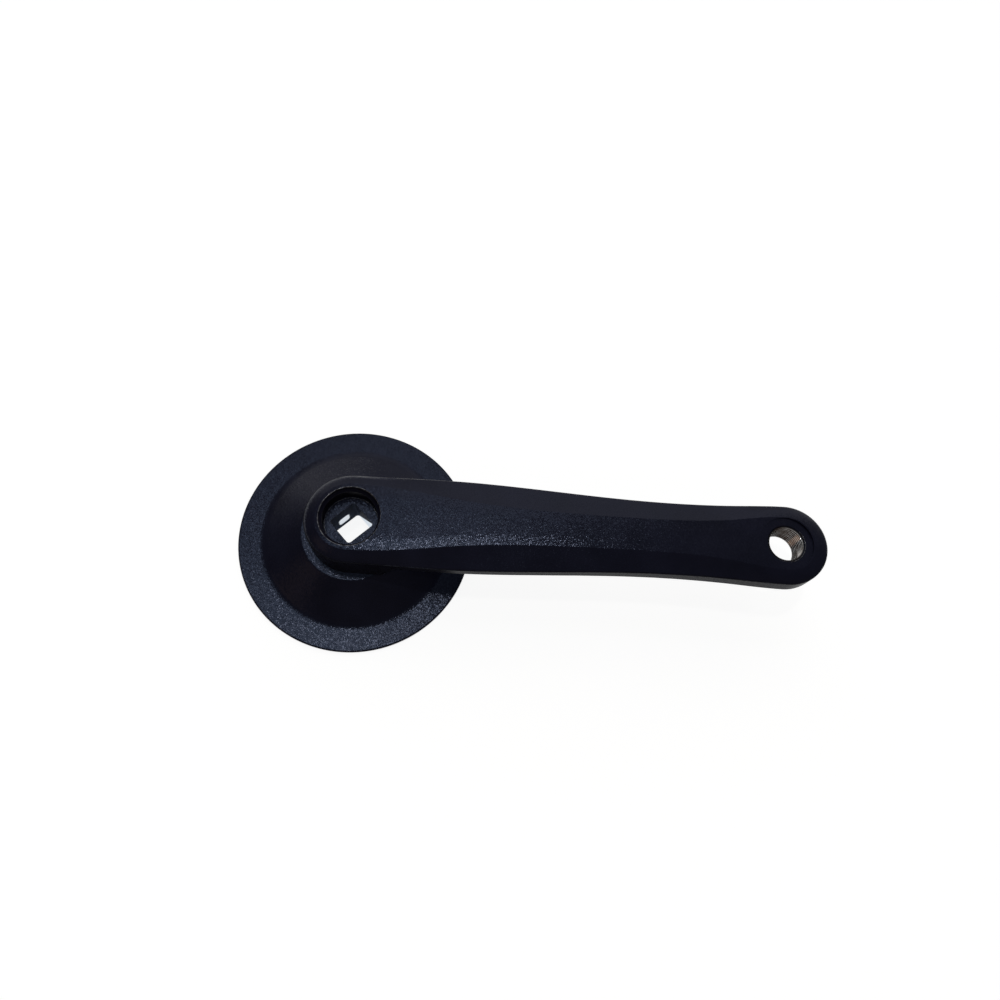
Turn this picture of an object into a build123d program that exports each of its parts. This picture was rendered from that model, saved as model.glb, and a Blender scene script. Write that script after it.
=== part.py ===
from build123d import *
import os
from math import radians, sqrt, tan

# Bicycle crank arm with a cover disc, in millimetres.
# The origin is on the spindle axis at the inboard face of the spigot.
# +Z runs outboard along the spindle axis and +X runs along the arm to the pedal axis.

# Lengths and heights of the arm
crank_length = 170.0
boss_length = 25.0
front_rise = 7.6
eye_thickness = 12.2

# Depths at the spindle axis and at the pedal axis, from the front face inwards
crown_drop_boss = 0.35
crown_drop_eye = 0.05
bevel_depth_boss = 3.2
bevel_depth_eye = 2.2
wall_depth_boss = 3.6
wall_depth_eye = 7.2

# Stations of the plan outlines between the boss and the eye
shoulder_reach = 42.0
waist_from_pedal = 60.0
neck_from_pedal = 20.0
eye_overhang = 0.6

# Half widths of the ridge, where the arm is widest
ridge_boss_radius = 18.2
ridge_shoulder = 18.5
ridge_waist = 15.1
ridge_neck = 15.2
ridge_eye_radius = 16.0

# Half widths of the front face at its crease
front_boss_radius = 13.7
front_shoulder = 9.65
front_waist = 6.55
front_neck = 8.45
front_eye_radius = 10.7

# Margin of the front face that falls away in a soft crown towards the crease,
# and the share of the fall that is reached half way across it
crown_width = 4.4
crown_half_way = 0.25

# Bulge of the bevel between crease and ridge, round at both ends of the arm and flat along it
bevel_bulge_boss = 0.8
bevel_bulge_eye = 1.2

# Inset of the back face inside the ridge
back_inset_arm = 4.6
back_inset_eye = 2.2

# Root, where the boss flares into the back of the arm
root_height = 3.0
root_centre = 2.0
root_foot_radius = 21.5
root_flare_per_mm = 0.36

# Rounding of the arm's edges
crease_radius = 0.8
ridge_edge_radius = 0.8
foot_edge_radius = 1.0
back_edge_radius = 2.0
root_edge_radius = 4.0

# Spindle end
spigot_radius = 16.5
spigot_length = 8.2
spigot_chamfer = 0.6
recess_depth = 8.4
recess_rim_radius = 0.3
recess_mouth_radius = 12.0
recess_mouth_depth = 1.4
extractor_thread_radius = 11.0
relief_width = 0.35
relief_undercut = 0.4
relief_depth = 0.5
relief_rise = 0.5
square_across_flats = 12.4
square_corner_radius = 1.2
taper_per_side = 2.0

# Pedal end
pedal_thread_radius = 7.144
pedal_chamfer = 0.35
spot_face_radius = 10.5
spot_face_depth = 0.5

# Cover disc
disc_radius = 48.1
disc_wall = 1.5
disc_drop = 1.2
disc_hub_radius = 21.4
disc_ring_width = 10.5
disc_cone_blend = 6.0
disc_hub_blend = 2.0
disc_edge_radius = 0.6
collar_wall = 3.5
collar_length = 7.0
bore_clearance = 0.02

# Tolerance for finding edges on a surface, and the places along an edge where it is tested
on_surface = 0.02
edge_shares = (0, 0.25, 0.5, 0.75, 1)


def lowered(heights, boss_drop, eye_drop):
    """Heights on the spindle axis and the pedal axis, each taken down by its own drop."""
    return heights[0] - boss_drop, heights[1] - eye_drop


def halfway(first, second):
    """Means of two equally long lists of sizes."""
    return [(a + b) / 2 for a, b in zip(first, second)]


# Heights of the arm's sloping planes on the spindle axis and on the pedal axis
front = (boss_length, boss_length + front_rise)
crown = lowered(front, crown_half_way * crown_drop_boss, crown_half_way * crown_drop_eye)
crease = lowered(front, crown_drop_boss, crown_drop_eye)
ridge = lowered(front, bevel_depth_boss, bevel_depth_eye)
foot = lowered(ridge, wall_depth_boss, wall_depth_eye)
back = (spigot_length + root_height, front[1] - eye_thickness)
stock_height = front[1] + front_rise + eye_thickness

# Half widths of the plan outlines at the boss, shoulder, waist, neck and eye
ridge_widths = [ridge_boss_radius, ridge_shoulder, ridge_waist, ridge_neck, ridge_eye_radius]
crease_widths = [front_boss_radius, front_shoulder, front_waist, front_neck, front_eye_radius]
bevel_bulges = [bevel_bulge_boss, 0, 0, 0, bevel_bulge_eye]
bevel_widths = [width + bulge for width, bulge in zip(halfway(ridge_widths, crease_widths), bevel_bulges)]
back_insets = [back_inset_arm, back_inset_arm, back_inset_arm, back_inset_eye, back_inset_eye]
back_widths = [width - inset for width, inset in zip(ridge_widths, back_insets)]
crown_widths = [width - crown_width / 2 for width in crease_widths]
front_widths = [width - crown_width for width in crease_widths]


def sloping_plane(heights):
    """Plane square to XZ, at one height on the spindle axis and another on the pedal axis."""
    rise = heights[1] - heights[0]
    return Plane(origin=(0, 0, heights[0]), x_dir=(crank_length, 0, rise), z_dir=(-rise, 0, crank_length))


def plan_outline(widths):
    """Closed plan shape with a round end at the boss, curved sides and a round end at the eye."""
    eye_x = crank_length + eye_overhang
    reaches = [0, shoulder_reach, crank_length - waist_from_pedal, crank_length - neck_from_pedal, eye_x]
    upper_points = list(zip(reaches, widths))
    lower_points = [(x, -y) for x, y in reversed(upper_points)]
    boss_end = widths[0]
    eye_end = widths[-1]
    upper_side = Spline(upper_points, tangents=[(1, 0), (1, 0)])
    eye_arc = ThreePointArc((eye_x, eye_end), (eye_x + eye_end, 0), (eye_x, -eye_end))
    lower_side = Spline(lower_points, tangents=[(-1, 0), (-1, 0)])
    boss_arc = ThreePointArc((0, -boss_end), (-boss_end, 0), (0, boss_end))
    return make_face([upper_side, eye_arc, lower_side, boss_arc])


def slice_on(widths, heights):
    """Face that the upright prism of a plan outline leaves on a sloping plane."""
    prism = extrude(plan_outline(widths), stock_height)
    below = split(prism, bisect_by=sloping_plane(heights), keep=Keep.BOTTOM)
    return below.faces().sort_by(Axis.Z)[-1]


def stock_below(heights):
    """Upright prism of the ridge outline from the boss's shoulder up to a sloping plane."""
    prism = extrude(Pos(0, 0, spigot_length) * plan_outline(ridge_widths), stock_height)
    return split(prism, bisect_by=sloping_plane(heights), keep=Keep.BOTTOM)


def edges_where(solid, lies_on):
    """Edges whose every tested point passes a test."""
    return [
        edge for edge in solid.edges() if all(lies_on(edge.position_at(share)) for share in edge_shares)
    ]


def edges_on(solid, heights):
    """Edges that lie in a sloping plane."""
    plane = sloping_plane(heights)
    return edges_where(solid, lambda point: abs(plane.to_local_coords(point).Z) < on_surface)


def root_cone():
    """Flared round root under the arm, a little further out than the boss."""
    top_radius = root_foot_radius + root_flare_per_mm * stock_height
    cone = Cone(root_foot_radius, top_radius, stock_height, align=(Align.CENTER, Align.CENTER, Align.MIN))
    return Pos(root_centre, 0, spigot_length) * cone


def on_root(point):
    """Whether a point is on the root's flared wall, clear of the boss's shoulder."""
    rise = point.Z - spigot_length
    reach = sqrt((point.X - root_centre) ** 2 + point.Y**2)
    off_wall = abs(reach - root_foot_radius - root_flare_per_mm * rise)
    return rise > root_height / 2 and off_wall < on_surface


def on_recess_rim(point):
    """Whether a point is on the recess's mouth, above its lead-in."""
    off_wall = abs(sqrt(point.X**2 + point.Y**2) - recess_mouth_radius)
    return point.Z > boss_length - recess_mouth_depth + on_surface and off_wall < on_surface


def forged_arm():
    """Arm and boss before machining: one stock, cut away under the arm, bevelled and rounded."""
    bevel_sections = [(ridge_widths, ridge), (bevel_widths, halfway(ridge, crease)), (crease_widths, crease)]
    crown_sections = [(crease_widths, crease), (crown_widths, crown), (front_widths, front)]
    back_sections = [(back_widths, back), (ridge_widths, foot)]
    bevel = loft([slice_on(*section) for section in bevel_sections])
    face_crown = loft([slice_on(*section) for section in crown_sections])
    back_bevel = loft([slice_on(*section) for section in back_sections], ruled=True)
    back_bevel = fillet(edges_on(back_bevel, back), back_edge_radius)
    under_cut = stock_below(foot) - back_bevel - root_cone()
    arm = stock_below(ridge) - under_cut + bevel + face_crown

    arm = fillet(edges_on(arm, crease), crease_radius)
    arm = fillet(edges_on(arm, ridge), ridge_edge_radius)
    arm = fillet(edges_where(arm, on_root), root_edge_radius)
    return fillet(edges_on(arm, foot), foot_edge_radius)


def spigot():
    """Turned step behind the boss that carries the cover disc."""
    step = Cylinder(spigot_radius, spigot_length, align=(Align.CENTER, Align.CENTER, Align.MIN))
    return chamfer(step.edges().group_by(Axis.Z)[0], spigot_chamfer)


def turned_cutter(profile):
    """Round cutter about Z from (radius, height) points, closed along the axis."""
    first_height = profile[0][1]
    last_height = profile[-1][1]
    points = [(0, first_height)] + profile + [(0, last_height)]
    return revolve(Plane.XZ * make_face(Polyline(points, close=True)), Axis.Z)


def extractor_recess():
    """Plain mouth, lead-in, threaded wall and undercut relief groove of the round recess before the square."""
    floor = boss_length - recess_depth
    mouth_floor = boss_length - recess_mouth_depth
    lead_in = recess_mouth_radius - extractor_thread_radius
    groove_inner = extractor_thread_radius - relief_width
    groove_outer = extractor_thread_radius + relief_undercut
    return turned_cutter(
        [
            (groove_inner, floor),
            (groove_inner, floor - relief_depth),
            (groove_outer, floor - relief_depth),
            (groove_outer, floor + relief_rise),
            (extractor_thread_radius, floor + relief_rise),
            (extractor_thread_radius, mouth_floor - lead_in),
            (recess_mouth_radius, mouth_floor),
            (recess_mouth_radius, stock_height),
        ]
    )


def square_taper():
    """Square hole for the spindle, corners along and across the arm, wider inboard."""
    depth = boss_length - recess_depth
    wide = square_across_flats + 2 * depth * tan(radians(taper_per_side))
    inboard = RectangleRounded(wide, wide, square_corner_radius)
    outboard = RectangleRounded(square_across_flats, square_across_flats, square_corner_radius)
    return Rot(0, 0, 45) * loft([inboard, Pos(0, 0, depth) * outboard], ruled=True)


def pedal_hole():
    """Threaded hole for the pedal, with a spot face in front and a small chamfer at both ends."""
    seat = front[1] - spot_face_depth
    wide = pedal_thread_radius + pedal_chamfer
    cutter = turned_cutter(
        [
            (wide, 0),
            (wide, back[1]),
            (pedal_thread_radius, back[1] + pedal_chamfer),
            (pedal_thread_radius, seat - pedal_chamfer),
            (wide, seat),
            (spot_face_radius, seat),
            (spot_face_radius, stock_height),
        ]
    )
    return Pos(crank_length, 0, 0) * cutter


def crank_arm():
    arm = forged_arm() + spigot() - extractor_recess()
    arm = fillet(edges_where(arm, on_recess_rim), recess_rim_radius)
    return arm - square_taper() - pedal_hole()


def cover_disc():
    """Dished disc of even wall with a flat ring outside, a cone and a collar on the spigot."""
    bore = spigot_radius + bore_clearance
    collar_radius = bore + collar_wall
    ring_inner = disc_radius - disc_ring_width
    hub_top = spigot_length
    ring_top = -disc_drop
    slope = (hub_top - ring_top) / (ring_inner - disc_hub_radius)
    # The inner face of the cone stands one wall behind its outer face
    shift = disc_wall * (sqrt(1 + slope**2) - 1) / slope
    under_hub = hub_top - disc_wall
    under_ring = ring_top - disc_wall
    hub_corner = (disc_hub_radius, hub_top)
    ring_corner = (ring_inner, ring_top)
    under_ring_corner = (ring_inner - shift, under_ring)
    rim_corners = [(disc_radius, ring_top), (disc_radius, under_ring)]
    outline = [
        (bore, hub_top),
        hub_corner,
        ring_corner,
        *rim_corners,
        under_ring_corner,
        (disc_hub_radius - shift, under_hub),
        (collar_radius, under_hub),
        (collar_radius, hub_top - collar_length),
        (bore, hub_top - collar_length),
    ]
    profile = make_face(Polyline(outline, close=True))
    roundings = [
        (hub_corner, disc_hub_blend),
        (ring_corner, disc_cone_blend),
        (under_ring_corner, disc_cone_blend + disc_wall),
        (rim_corners[0], disc_edge_radius),
        (rim_corners[1], disc_edge_radius),
    ]
    for (radius, height), rounding in roundings:
        corner = profile.vertices().sort_by_distance((radius, height, 0))[0]
        profile = fillet(corner, rounding)
    return revolve(Plane.XZ * profile, Axis.Z)


os.makedirs("parts", exist_ok=True)
export_step(crank_arm(), "parts/crank_arm.step")
export_step(cover_disc(), "parts/cover_disc.step")
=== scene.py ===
"""Bicycle crank arm with its cover disc: finishes, threads, light and camera."""

import math

import bmesh
import bpy
from mathutils import Matrix, Vector


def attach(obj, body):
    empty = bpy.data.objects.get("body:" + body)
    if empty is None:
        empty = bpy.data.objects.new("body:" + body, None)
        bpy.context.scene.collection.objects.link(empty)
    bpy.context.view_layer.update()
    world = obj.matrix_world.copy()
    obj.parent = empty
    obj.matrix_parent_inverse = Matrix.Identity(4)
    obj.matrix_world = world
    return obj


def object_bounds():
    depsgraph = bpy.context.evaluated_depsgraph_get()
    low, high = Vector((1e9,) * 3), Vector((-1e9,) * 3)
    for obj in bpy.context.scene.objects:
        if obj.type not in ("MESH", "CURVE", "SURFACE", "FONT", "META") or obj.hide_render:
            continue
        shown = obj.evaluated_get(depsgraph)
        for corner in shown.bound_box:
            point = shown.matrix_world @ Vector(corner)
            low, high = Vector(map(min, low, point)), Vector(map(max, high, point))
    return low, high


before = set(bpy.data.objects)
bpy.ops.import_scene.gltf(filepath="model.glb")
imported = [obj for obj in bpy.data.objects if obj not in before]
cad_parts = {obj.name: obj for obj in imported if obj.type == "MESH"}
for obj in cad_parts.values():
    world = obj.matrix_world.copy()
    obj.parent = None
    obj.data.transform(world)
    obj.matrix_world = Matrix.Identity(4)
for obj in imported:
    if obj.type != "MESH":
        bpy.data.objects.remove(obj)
cad_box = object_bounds()

# Places on the crank, in metres
PEDAL_X = 0.170
PEDAL_WALL = 0.007144
PEDAL_CHAMFER = 0.007494
PEDAL_SEAT = 0.03207
SPOT_FACE = 0.0105
RECESS_FLOOR = 0.0166
RECESS_WALL = 0.0110
RECESS_MOUTH = 0.0120
RECESS_RIM = 0.01232
RIM_FOOT = 0.0240
SEAT_EDGE = 0.01065
SPIGOT_TOP = 0.0083
SQUARE_REACH = 0.0100
HALF_SQUARE = 0.0064
DISC_RIM = 0.0475
SLIGHT = 0.00002
FLOOR_SLACK = 0.001

# A face with less upward facing than this is upright, leans, or is no floor
UPRIGHT = 0.35
LEANING = 0.65
LYING = 0.8

# Numbers of the finishes in the arm's list and in the disc's list
COAT, WALL, METAL, SQUARE, GLINT_EDGE, SHADED_SIDE = range(6)
DISC_COAT, DISC_SHADED_SIDE = range(2)

# Threads, in metres, and the shares of a pitch at which a ridge rises and falls
PEDAL_PITCH = 0.00127
PEDAL_CREST = 0.00662
PEDAL_LOW = 0.02078
PEDAL_HIGH = 0.03172
RECESS_PITCH = 0.0010
RECESS_CREST = 0.01090
RECESS_LOW = 0.0171
RECESS_HIGH = 0.0226
THREAD_GAP = 0.00001
LEFT_HAND = -1
RIGHT_HAND = 1
RIDGE_START = 0.10
CREST_START = 0.44
CREST_END = 0.56
RIDGE_END = 0.90
RIDGE_ANGLE = 25
MERGE_DISTANCE = 1e-7

# Rounded edges, in metres and degrees
SEAT_ROUNDING = 0.00014
RIM_ROUNDING = 0.00013
# The pedal rim's lip, with its painted highlight, runs only over this arc
RIM_GLINT_ARC = (-80, 45)
FULL_TURN = (0, 360)
STEPS_PER_TURN = 96
LIP_SIDES = 10

# Satin coat: colours, tint of the reflection, shine, and size and tilt of the flakes
COAT_COLOUR = (0.0090, 0.0094, 0.0200)
# Painted shade: a darker, less shiny copy of the coat for faces that lean or stand upright
SHADED_SIDE_COLOUR = (0.0090, 0.0094, 0.0160)
COAT_TINT = (0.62, 0.70, 1.0, 1.0)
COAT_SHADES = (0.8, 1.2)
COAT_IOR = 1.30
SIDE_IOR = 1.09
FLAKE_GRAIN = 0.00032
FLAKE_TILT = 0.145
SIDE_TILT = 0.10
CLOUD_SCALE = 70.0
ROUGHNESS_SWING = 0.03

# Walls of the recess and of the square hole, in metres where they are places
WALL_COLOUR = (0.0075, 0.0075, 0.0170)
WALL_SHADE = 0.85
WALL_IOR = 1.16
FINE_SCALE = 900.0
MARK_STRENGTH = 0.15
MARK_DEPTH = 0.00003
SQUARE_COLOUR = (0.090, 0.112, 0.170)
SQUARE_TINT = (0.85, 0.92, 1.0, 1.0)
SQUARE_IOR = 1.02
# Painted highlight: colour of the bright mirror-like patches on the square hole's wall
PAINTED_GLARE_COLOUR = (0.91, 0.92, 0.93)
FLAT_PLACE = 0.0061
PATCH_ACROSS = (-0.0024, 0.0028)
PATCH_ALONG = (0.0030, 0.0087)
PATCH_FADE = (1.5, 0.6)
SLANT_FADE = (-0.04, 0.04)

# Edges with a painted highlight, and the cut metal of the pedal hole
# Painted highlight: light metallic tones for rims and lips, to give bright edge lines
EDGE_GLINT_TONES = [(0.35, (0.010, 0.010, 0.014)), (0.65, (0.19, 0.19, 0.21))]
EDGE_GLINT_METALLIC = 0.6
STAIN_SCALE = 260.0
STAIN_TONES = [(0.3, (0.24, 0.18, 0.15)), (0.5, (0.48, 0.46, 0.455)), (0.75, (0.92, 0.92, 0.93))]
# Painted shade: the roots between the thread's ridges are darkened
ROOT_SHADE_TONES = [(0.25, (0.03, 0.03, 0.03)), (0.85, (1.0, 1.0, 1.0))]
# Painted highlight: the pedal hole's metal is darker towards the left and brighter towards the right
LIT_SIDE_SPAN = (-0.004, 0.006)
LIT_SIDE_SHARE = (0.30, 0.84)

# Camera, in metres and degrees
CAMERA_PLACE = Vector((0.04540, -0.10554, 0.32445))
CAMERA_AIM = Vector((0.05877, 0.01729, 0.01000))
CAMERA_ROLL = 3.648
CAMERA_LENS = 29.258
SENSOR = 36.0
ACROSS = Vector((0, 1, 0))

# Floor: the camera sees it this white, and a matt share holds the crank's shadow
FLOOR_HALF = 2.0
FLOOR_GAP = 0.0002
FLOOR_COLOUR = (0.85, 0.85, 0.85, 1.0)
SEEN_WHITE = 0.88
SHADED_COLOUR = (0.30, 0.30, 0.30, 1.0)
MIRRORED_WHITE = 0.85
PLAIN_WHITE = (1.0, 1.0, 1.0, 1.0)

# Lamps: the way towards each, and its width and height as shares of its distance
LIGHT_CENTRE = Vector((0.06, 0.0, 0.015))
LAMP_DISTANCE = 3.0
LAMPS = [
    {
        "name": "hot_lamp",
        "way": (-0.088, 0.122, 0.989),
        "width": 0.05,
        "height": 0.05,
        "brightness": 98.0,
        "tint": (1.0, 0.98, 0.92),
        "shadow": True,
    },
    {
        "name": "soft_lamp",
        "way": (-0.215, 0.160, 0.963),
        "width": 0.40,
        "height": 0.27,
        "brightness": 2.7,
        "tint": (0.78, 0.92, 1.0),
        "shadow": False,
    },
    {
        "name": "high_panel",
        "way": (-0.10, 0.480, 0.870),
        "width": 0.34,
        "height": 0.18,
        "brightness": 1.85,
        "tint": (0.88, 0.95, 1.0),
        "shadow": True,
    },
    {
        "name": "warm_panel",
        "way": (-0.72, -0.330, 0.600),
        "width": 0.40,
        "height": 0.40,
        "brightness": 0.40,
        "tint": (1.0, 0.62, 0.40),
        "shadow": True,
    },
]

# Brightness of the room by how far a way points to the far side
ROOM = [
    (-1.0, (0.130, 0.110, 0.095)),
    (-0.6, (0.200, 0.170, 0.150)),
    (-0.2, (0.120, 0.115, 0.115)),
    (0.2, (0.150, 0.150, 0.150)),
    (0.4, (0.260, 0.255, 0.250)),
    (0.6, (0.640, 0.610, 0.570)),
    (0.75, (1.420, 1.360, 1.290)),
    (1.0, (0.350, 0.350, 0.370)),
]
# Share of that brightness by how far a way points to the right
ROOM_SIDES = [(-1.0, 0.45), (-0.5, 0.60), (-0.15, 1.0), (0.3, 0.85), (1.0, 0.70)]


def node(tree, kind, inputs=None, **settings):
    """A node with its settings, its plain input values and its links."""
    made = tree.nodes.new(kind)
    for key, value in settings.items():
        setattr(made, key, value)
    for key, value in (inputs or {}).items():
        if isinstance(value, bpy.types.NodeSocket):
            tree.links.new(value, made.inputs[key])
        else:
            made.inputs[key].default_value = value
    return made


def maths(tree, operation, *values):
    """The result of a sum on numbers."""
    return node(tree, "ShaderNodeMath", dict(enumerate(values)), operation=operation).outputs[0]


def vector_maths(tree, operation, *values):
    """The result of a sum on vectors."""
    return node(tree, "ShaderNodeVectorMath", dict(enumerate(values)), operation=operation).outputs[0]


def scaled_vector(tree, vector, scale):
    """A vector times a number."""
    return node(tree, "ShaderNodeVectorMath", {0: vector, "Scale": scale}, operation="SCALE").outputs[0]


def span(tree, value, source=(0.0, 1.0), target=(0.0, 1.0), clamp=True):
    """Maps a value from one range onto another."""
    inputs = {
        "Value": value,
        "From Min": source[0],
        "From Max": source[1],
        "To Min": target[0],
        "To Max": target[1],
    }
    return node(tree, "ShaderNodeMapRange", inputs, clamp=clamp).outputs["Result"]


def ramp(tree, value, stops):
    """A colour ramp of (position, colour) stops."""
    made = node(tree, "ShaderNodeValToRGB", {"Fac": value})
    elements = made.color_ramp.elements
    while len(elements) < len(stops):
        elements.new(0.5)
    for element, (position, colour) in zip(elements, stops):
        element.position = position
        element.color = (*colour, 1.0)
    return made.outputs["Color"]


def noise(tree, place, scale, detail):
    """Soft random values from 0 to 1."""
    made = node(tree, "ShaderNodeTexNoise", {"Vector": place, "Scale": scale, "Detail": detail})
    return made.outputs["Fac"]


def new_finish(name):
    """A material with a Principled shader, and the place on the piece that its nodes start from."""
    material = bpy.data.materials.new(name)
    material.use_nodes = True
    tree = material.node_tree
    tree.nodes.clear()
    shader = node(tree, "ShaderNodeBsdfPrincipled")
    node(tree, "ShaderNodeOutputMaterial", {"Surface": shader.outputs["BSDF"]})
    place = node(tree, "ShaderNodeTexCoord").outputs["Object"]
    return material, tree, shader, place


def shades(colour, factor):
    """A colour made darker or lighter."""
    return tuple(factor * channel for channel in colour)


def flaked_normal(tree, place, tilt):
    """The surface normal, tipped at random in each small cell of the coat."""
    cells = node(tree, "ShaderNodeTexVoronoi", {"Vector": place, "Scale": 1.0 / FLAKE_GRAIN})
    centred = vector_maths(tree, "SUBTRACT", cells.outputs["Color"], (0.5, 0.5, 0.5))
    facing = node(tree, "ShaderNodeNewGeometry").outputs["Normal"]
    tipped = vector_maths(tree, "ADD", facing, scaled_vector(tree, centred, tilt))
    return vector_maths(tree, "NORMALIZE", tipped)


def satin_coat(name, colour, roughness, tilt, ior):
    """Satin black coat with fine metal flake."""
    material, tree, shader, place = new_finish(name)
    cloud = noise(tree, place, CLOUD_SCALE, 3.0)
    dark, light = COAT_SHADES
    tones = ramp(tree, cloud, [(0.3, shades(colour, dark)), (0.7, shades(colour, light))])
    swing = (roughness - ROUGHNESS_SWING, roughness + ROUGHNESS_SWING)
    tree.links.new(tones, shader.inputs["Base Color"])
    tree.links.new(span(tree, cloud, target=swing), shader.inputs["Roughness"])
    tree.links.new(flaked_normal(tree, place, tilt), shader.inputs["Normal"])
    shader.inputs["IOR"].default_value = ior
    shader.inputs["Specular Tint"].default_value = COAT_TINT
    return material


def machined_coat(name, colour, roughness):
    """Smooth black coat over a turned wall, with faint tool marks."""
    material, tree, shader, place = new_finish(name)
    marks = noise(tree, place, FINE_SCALE, 2.0)
    tones = ramp(tree, marks, [(0.3, shades(colour, WALL_SHADE)), (0.7, colour)])
    swing = (roughness - ROUGHNESS_SWING, roughness + ROUGHNESS_SWING)
    bump = node(
        tree, "ShaderNodeBump", {"Height": marks, "Strength": MARK_STRENGTH, "Distance": MARK_DEPTH}
    )
    tree.links.new(tones, shader.inputs["Base Color"])
    tree.links.new(span(tree, marks, target=swing), shader.inputs["Roughness"])
    tree.links.new(bump.outputs["Normal"], shader.inputs["Normal"])
    shader.inputs["IOR"].default_value = WALL_IOR
    return material


def patch_term(tree, place, limits):
    """Fourth power of the distance from the middle of a span, in half spans."""
    reach = span(tree, place, limits, (-1.0, 1.0), clamp=False)
    square = maths(tree, "MULTIPLY", reach, reach)
    return maths(tree, "MULTIPLY", square, square)


def square_wall_with_painted_glare(name, colour):
    """Dark wall of the square hole, with a painted highlight: a bright mirror-like patch on one flat
    and a wedge low on the flats, which reflect the white floor.
    """
    material, tree, shader, place = new_finish(name)
    turned = node(tree, "ShaderNodeVectorRotate", {"Vector": place, "Angle": math.radians(-45)})
    parts = node(tree, "ShaderNodeSeparateXYZ", {"Vector": turned.outputs[0]}).outputs
    across = patch_term(tree, parts["X"], PATCH_ACROSS)
    along = patch_term(tree, parts["Z"], PATCH_ALONG)
    patch = span(tree, maths(tree, "ADD", across, along), PATCH_FADE)
    depth = span(tree, parts["Z"], (0.0, RECESS_FLOOR))
    width = span(tree, parts["Y"], (HALF_SQUARE, -HALF_SQUARE))
    under = span(tree, maths(tree, "SUBTRACT", width, depth), SLANT_FADE)
    on_flat = maths(tree, "GREATER_THAN", maths(tree, "ABSOLUTE", parts["X"]), FLAT_PLACE)
    wedge = maths(tree, "MULTIPLY", under, on_flat)
    # Painted highlight: where the wall turns bright and mirror-like
    glare_mask = maths(tree, "MAXIMUM", patch, wedge)
    tree.links.new(ramp(tree, glare_mask, [(0.0, colour), (1.0, PAINTED_GLARE_COLOUR)]), shader.inputs["Base Color"])
    tree.links.new(glare_mask, shader.inputs["Metallic"])
    tree.links.new(span(tree, glare_mask, target=(0.40, 0.08)), shader.inputs["Roughness"])
    shader.inputs["IOR"].default_value = SQUARE_IOR
    shader.inputs["Specular Tint"].default_value = SQUARE_TINT
    return material


def glinting_edge(name):
    """Rounded rim with a painted highlight: a light metallic finish that gives it a bright edge line.
    """
    material, tree, shader, place = new_finish(name)
    wear = noise(tree, place, FINE_SCALE, 2.0)
    tree.links.new(ramp(tree, wear, EDGE_GLINT_TONES), shader.inputs["Base Color"])
    tree.links.new(span(tree, wear, target=(0.45, 0.25)), shader.inputs["Roughness"])
    shader.inputs["Metallic"].default_value = EDGE_GLINT_METALLIC
    return material


def bare_metal(name):
    """Cut aluminium in the pedal hole with random stain tones, painted shade between the ridges, and a
    painted highlight that brightens it towards the right.
    """
    material, tree, shader, place = new_finish(name)
    stain = noise(tree, place, STAIN_SCALE, 4.0)
    centred = vector_maths(tree, "SUBTRACT", place, (PEDAL_X, 0, 0))
    flat = vector_maths(tree, "MULTIPLY", centred, (1, 1, 0))
    reach = node(tree, "ShaderNodeVectorMath", {0: flat}, operation="LENGTH").outputs["Value"]
    crest = span(tree, reach, (PEDAL_WALL, PEDAL_CREST))
    # Stain tones times the painted shade between the ridges
    stain_and_root_shade = vector_maths(tree, "MULTIPLY", ramp(tree, stain, STAIN_TONES), ramp(tree, crest, ROOT_SHADE_TONES))
    right = node(tree, "ShaderNodeSeparateXYZ", {"Vector": centred}).outputs["X"]
    # Painted highlight: brighter towards the right, darker towards the left
    lit_side = span(tree, right, LIT_SIDE_SPAN, LIT_SIDE_SHARE)
    tree.links.new(scaled_vector(tree, stain_and_root_shade, lit_side), shader.inputs["Base Color"])
    tree.links.new(span(tree, stain, target=(0.22, 0.08)), shader.inputs["Roughness"])
    shader.inputs["Metallic"].default_value = 1.0
    return material


def add_piece(name, mesh, material):
    """A piece that rides with the crank and takes the given finish."""
    data = bpy.data.meshes.new(name)
    mesh.to_mesh(data)
    mesh.free()
    data.materials.append(material)
    piece = bpy.data.objects.new(name, data)
    bpy.context.scene.collection.objects.link(piece)
    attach(piece, "root")
    return piece


def thread_sleeve(name, material, axis_x, wall, crest, low, high, pitch, hand):
    """Helical ridges that line a round wall."""
    profile = [
        (0.0, wall),
        (RIDGE_START, wall),
        (CREST_START, crest),
        (CREST_END, crest),
        (RIDGE_END, wall),
    ]
    turns = math.ceil((high - low) / pitch) + 2
    mesh = bmesh.new()
    rings = []
    for step in range(STEPS_PER_TURN + 1):
        share = step / STEPS_PER_TURN
        angle = 2 * math.pi * share
        ring = []
        for turn in range(turns):
            for along, radius in profile:
                height = low + pitch * (turn - 1 + along + hand * share)
                height = min(max(height, low), high)
                spot = (axis_x + radius * math.cos(angle), radius * math.sin(angle), height)
                ring.append(mesh.verts.new(spot))
        rings.append(ring)
    for near, far in zip(rings, rings[1:]):
        for row in range(len(near) - 1):
            mesh.faces.new((near[row], near[row + 1], far[row + 1], far[row]))
    bmesh.ops.remove_doubles(mesh, verts=mesh.verts, dist=MERGE_DISTANCE)
    bmesh.ops.dissolve_degenerate(mesh, edges=mesh.edges, dist=MERGE_DISTANCE)
    for face in mesh.faces:
        face.smooth = True
    piece = add_piece(name, mesh, material)
    piece.data.set_sharp_from_angle(angle=math.radians(RIDGE_ANGLE))


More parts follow.
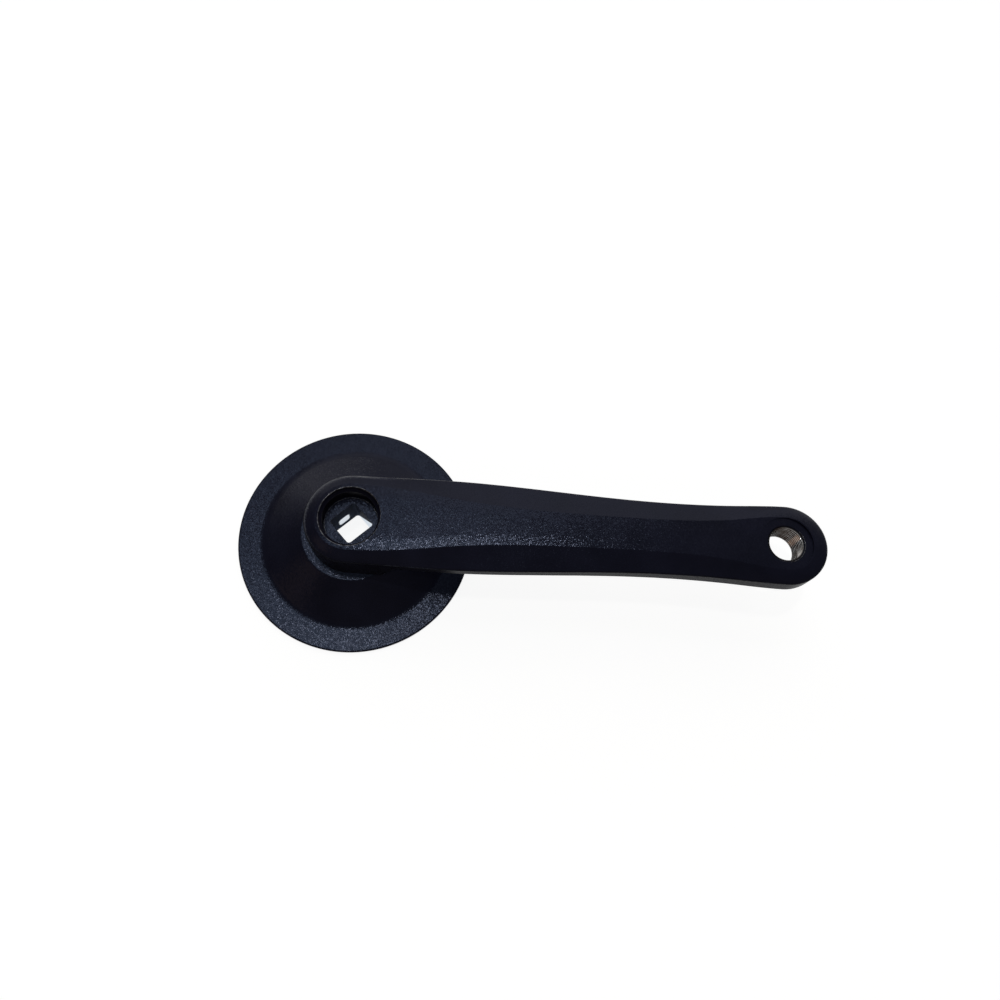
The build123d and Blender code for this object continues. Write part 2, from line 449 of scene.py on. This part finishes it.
def rounded_lip(name, material, axis_x, radius, height, rounding, arc):
    """Thin rounded edge round a hole, over an arc in degrees."""
    start, end = arc
    mesh = bmesh.new()
    rows = []
    for step in range(STEPS_PER_TURN + 1):
        turn = math.radians(start + (end - start) * step / STEPS_PER_TURN)
        row = []
        for part in range(LIP_SIDES):
            tip = 2 * math.pi * part / LIP_SIDES
            reach = radius + rounding * math.cos(tip)
            across = axis_x + reach * math.cos(turn)
            spot = (across, reach * math.sin(turn), height + rounding * math.sin(tip))
            row.append(mesh.verts.new(spot))
        rows.append(row)
    for near, far in zip(rows, rows[1:]):
        for part in range(LIP_SIDES):
            after = (part + 1) % LIP_SIDES
            face = mesh.faces.new((near[part], far[part], far[after], near[after]))
            face.smooth = True
    add_piece(name, mesh, material)


def dress(name, materials, choose):
    """Gives a CAD node its materials, chosen by the place and facing of each face."""
    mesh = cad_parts[name].data
    mesh.materials.clear()
    for material in materials:
        mesh.materials.append(material)
    for face in mesh.polygons:
        face.material_index = choose(face.center, face.normal)


def arm_finish(centre, facing):
    """The number of the finish in the arm's list, for a face."""
    from_spindle = math.hypot(centre.x, centre.y)
    from_pedal = math.hypot(centre.x - PEDAL_X, centre.y)
    upright = abs(facing.z) < UPRIGHT
    if from_pedal < PEDAL_WALL + SLIGHT and upright:
        return METAL
    if upright and from_spindle < SQUARE_REACH and centre.z < RECESS_FLOOR:
        return SQUARE
    in_recess = from_spindle < RECESS_MOUTH + SLIGHT and centre.z > RECESS_FLOOR - FLOOR_SLACK
    if in_recess and facing.z < LYING:
        return WALL
    # Painted highlight on the recess rim
    if from_spindle < RECESS_RIM and centre.z > RIM_FOOT:
        return GLINT_EDGE
    # Painted shade: leaning and upright faces take the darker, less shiny copy of the coat
    leaning = facing.z < LEANING
    if leaning and centre.z > SPIGOT_TOP and from_pedal > SPOT_FACE + SLIGHT:
        return SHADED_SIDE
    return COAT


def disc_finish(centre, facing):
    """The number of the finish in the disc's list, for a face."""
    on_rim = math.hypot(centre.x, centre.y) > DISC_RIM
    # Painted shade: the rim's upright faces take the darker, less shiny copy of the coat
    if on_rim and abs(facing.z) < UPRIGHT:
        return DISC_SHADED_SIDE
    return DISC_COAT


def lay_floor():
    """Plain pale floor that reads white and keeps the crank's soft shadow."""
    height = cad_box[0][2] - FLOOR_GAP
    corners = [
        (-FLOOR_HALF, -FLOOR_HALF, height),
        (FLOOR_HALF, -FLOOR_HALF, height),
        (FLOOR_HALF, FLOOR_HALF, height),
        (-FLOOR_HALF, FLOOR_HALF, height),
    ]
    data = bpy.data.meshes.new("floor")
    data.from_pydata(corners, [], [(0, 1, 2, 3)])
    floor = bpy.data.objects.new("floor", data)
    bpy.context.scene.collection.objects.link(floor)
    material = bpy.data.materials.new("floor")
    material.use_nodes = True
    tree = material.node_tree
    tree.nodes.clear()
    path = node(tree, "ShaderNodeLightPath").outputs
    mirrored = maths(tree, "MAXIMUM", path["Is Glossy Ray"], path["Is Transmission Ray"])
    dimmed = maths(tree, "MULTIPLY", mirrored, MIRRORED_WHITE)
    share = maths(tree, "MAXIMUM", path["Is Camera Ray"], dimmed)
    matt = node(tree, "ShaderNodeBsdfDiffuse", {"Color": FLOOR_COLOUR}).outputs[0]
    shaded = node(tree, "ShaderNodeBsdfDiffuse", {"Color": SHADED_COLOUR}).outputs[0]
    glow = node(tree, "ShaderNodeEmission", {"Color": PLAIN_WHITE, "Strength": SEEN_WHITE}).outputs[0]
    white = node(tree, "ShaderNodeAddShader", {0: shaded, 1: glow}).outputs[0]
    both = node(tree, "ShaderNodeMixShader", {0: share, 1: matt, 2: white}).outputs[0]
    node(tree, "ShaderNodeOutputMaterial", {"Surface": both})
    data.materials.append(material)


def light_world():
    """Dim room, paler towards the far side."""
    world = bpy.data.worlds.new("room")
    bpy.context.scene.world = world
    world.use_nodes = True
    tree = world.node_tree
    tree.nodes.clear()
    way = node(tree, "ShaderNodeTexCoord").outputs["Generated"]
    parts = node(tree, "ShaderNodeSeparateXYZ", {"Vector": way}).outputs
    far = span(tree, parts["Y"], (-1.0, 1.0))
    right = span(tree, parts["X"], (-1.0, 1.0))
    sky = ramp(tree, far, [((y + 1) / 2, colour) for y, colour in ROOM])
    sides = ramp(tree, right, [((x + 1) / 2, (share,) * 3) for x, share in ROOM_SIDES])
    dimmed = vector_maths(tree, "MULTIPLY", sky, sides)
    back = node(tree, "ShaderNodeBackground", {"Color": dimmed, "Strength": 1.0})
    node(tree, "ShaderNodeOutputWorld", {"Surface": back.outputs[0]})


def hang_lamp(name, way, width, height, brightness, tint, shadow):
    """A lamp that faces the crank. Its power follows from its size and brightness."""
    lamp = bpy.data.lights.new(name, "AREA")
    lamp.shape = "RECTANGLE"
    lamp.size = width * LAMP_DISTANCE
    lamp.size_y = height * LAMP_DISTANCE
    lamp.energy = brightness * math.pi * lamp.size * lamp.size_y
    lamp.color = tint
    lamp.use_shadow = shadow
    holder = bpy.data.objects.new(name, lamp)
    back = Vector(way).normalized()
    right = ACROSS.cross(back).normalized()
    up = back.cross(right)
    turn = Matrix((right, up, back)).transposed().to_4x4()
    holder.matrix_world = Matrix.Translation(LIGHT_CENTRE + back * LAMP_DISTANCE) @ turn
    bpy.context.scene.collection.objects.link(holder)


def set_camera():
    """The photograph's view."""
    data = bpy.data.cameras.new("camera")
    data.sensor_width = SENSOR
    data.lens = CAMERA_LENS
    camera = bpy.data.objects.new("camera", data)
    ahead = (CAMERA_AIM - CAMERA_PLACE).normalized()
    right = ahead.cross(ACROSS).normalized()
    up = right.cross(ahead)
    turn = Matrix((right, up, -ahead)).transposed().to_4x4()
    roll = Matrix.Rotation(math.radians(CAMERA_ROLL), 4, "Z")
    camera.matrix_world = Matrix.Translation(CAMERA_PLACE) @ turn @ roll
    bpy.context.scene.collection.objects.link(camera)
    bpy.context.scene.camera = camera


arm_coat = satin_coat("arm_coat", COAT_COLOUR, 0.18, FLAKE_TILT, COAT_IOR)
disc_coat = satin_coat("disc_coat", COAT_COLOUR, 0.20, FLAKE_TILT, COAT_IOR)
shaded_side_coat = satin_coat("shaded_side_coat", SHADED_SIDE_COLOUR, 0.30, SIDE_TILT, SIDE_IOR)
wall_coat = machined_coat("wall_coat", WALL_COLOUR, 0.40)
edge_glint = glinting_edge("edge_glint")
metal = bare_metal("bare_metal")
square_wall = square_wall_with_painted_glare("square_wall", SQUARE_COLOUR)

dress("crank_arm", [arm_coat, wall_coat, metal, square_wall, edge_glint, shaded_side_coat], arm_finish)
dress("cover_disc", [disc_coat, shaded_side_coat], disc_finish)

thread_sleeve(
    "pedal_thread_ridges",
    metal,
    PEDAL_X,
    PEDAL_WALL - THREAD_GAP,
    PEDAL_CREST,
    PEDAL_LOW,
    PEDAL_HIGH,
    PEDAL_PITCH,
    LEFT_HAND,
)
thread_sleeve(
    "recess_thread_ridges",
    wall_coat,
    0.0,
    RECESS_WALL - THREAD_GAP,
    RECESS_CREST,
    RECESS_LOW,
    RECESS_HIGH,
    RECESS_PITCH,
    RIGHT_HAND,
)
rounded_lip("recess_seat_edge", edge_glint, 0.0, SEAT_EDGE, RECESS_FLOOR, SEAT_ROUNDING, FULL_TURN)
rounded_lip("pedal_rim_edge", edge_glint, PEDAL_X, PEDAL_CHAMFER, PEDAL_SEAT, RIM_ROUNDING, RIM_GLINT_ARC)

lay_floor()
light_world()
for lamp_settings in LAMPS:
    hang_lamp(**lamp_settings)
set_camera()
bpy.context.scene.view_settings.view_transform = "Standard"
